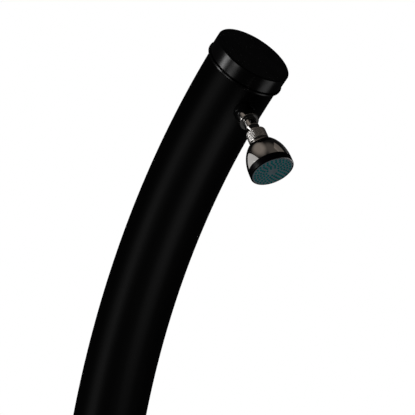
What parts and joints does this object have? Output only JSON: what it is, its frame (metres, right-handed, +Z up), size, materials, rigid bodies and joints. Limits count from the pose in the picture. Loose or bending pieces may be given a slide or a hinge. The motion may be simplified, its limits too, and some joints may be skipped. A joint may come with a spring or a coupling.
{
  "type": "outdoor shower post",
  "caption": "Outdoor solar shower post: a black tank tube on a bolted foot, bent over at the top, with a capped end, a ball-jointed shower head and a lever mixer.",
  "frame": {"origin": "centre of the foot's underside, in the plane of the ground, at the middle of its bolt circle", "axes": "+Z up along the straight tube; the post leans and the shower head and mixer point to -Y, the user's side; +X to the right of someone who faces +Y"},
  "size_m": [0.22, 0.5346, 2.1983],
  "materials": {
    "tank_black": "black, satin gloss, smooth extruded tube",
    "cap_black": "black, high gloss",
    "foot_black": "black moulded plastic, fine texture",
    "chrome": "polished chrome plate",
    "chromed_plastic": "chrome-plated plastic, polished",
    "steel": "stainless steel",
    "brass": "turned brass",
    "band_dark": "near-black smoky gloss",
    "face_grey": "mid grey, satin",
    "nozzle_teal": "teal silicone rubber",
    "seal_black": "black rubber",
    "inner_plastic": "natural white plastic",
    "hose_white": "translucent white hose",
    "button_grey": "plain grey insert"
  },
  "bodies": {
    "post": {"base_flange": "foot_black", "base_screws": "steel", "bottom_plug": "foot_black", "bottom_seal": "seal_black", "lower_tank": "tank_black", "joint_sleeve": "foot_black", "joint_seals": "seal_black", "joint_collar": "cap_black", "joint_screws": "steel", "upper_tank": "tank_black", "top_cap": "cap_black", "cap_seal": "seal_black", "fitting_outer_seals": "seal_black", "fitting_inner_washers": "inner_plastic", "fitting_locknuts": "brass", "inlet_fitting": "brass", "inlet_oring": "seal_black", "inlet_tee": "inner_plastic", "drain_bush": "foot_black", "drain_washer": "seal_black", "drain_plug": "foot_black", "arm_bush": "seal_black", "arm_nipple": "brass", "mixer_gasket": "seal_black", "mixer_escutcheon": "chrome", "mixer_body": "chrome", "mixer_inner_washer": "inner_plastic", "mixer_locknut": "brass", "mixer_cartridge": "inner_plastic", "cartridge_retainer": "brass", "cartridge_shroud": "chrome", "cold_hose": "hose_white", "warm_hose": "hose_white", "riser_hose": "hose_white", "hose_clips": "steel"},
    "arm_swivel": {"ball_stem": "chrome"},
    "ball_cup": {"ball_slip_ring": "inner_plastic", "ball_seat": "seal_black"},
    "shower_head": {"ball_nut": "chromed_plastic", "inlet_screen": "steel", "head_shell": "chromed_plastic", "head_band": "band_dark", "face_seal": "seal_black", "face_plate": "face_grey", "nozzle_mat": "nozzle_teal", "spray_backplate": "inner_plastic"},
    "mixer_turret": {"spindle_carrier": "inner_plastic", "spindle_pin": "steel"},
    "mixer_lever": {"cartridge_spindle": "inner_plastic", "mixer_handle": "chrome", "handle_screw": "steel", "index_button": "button_grey"}
  },
  "joints": [
    {"name": "mixer_turn", "type": "hinge", "parent": "post", "child": "mixer_turret", "pos_m": [0, -0.101, 1.18], "axis": [0, -1, 0], "range_deg": [-50, 50]},
    {"name": "lever_lift", "type": "hinge", "parent": "mixer_turret", "child": "mixer_lever", "pos_m": [0, -0.101, 1.18], "axis": [-1, 0, 0], "range_deg": [0, 25]},
    {"name": "arm_turn", "type": "hinge", "parent": "post", "child": "arm_swivel", "pos_m": [0, -0.36409, 2.01461], "axis": [0, -0.6764, -0.7365], "continuous": true},
    {"name": "head_tilt", "type": "hinge", "parent": "arm_swivel", "child": "ball_cup", "pos_m": [0, -0.36409, 2.01461], "axis": [0.7748, -0.4656, 0.4276], "range_deg": [-36.59, 3.41]},
    {"name": "head_spin", "type": "hinge", "parent": "ball_cup", "child": "shower_head", "pos_m": [0, -0.36409, 2.01461], "axis": [0.1805, -0.4853, -0.8555], "continuous": true}
  ]
}
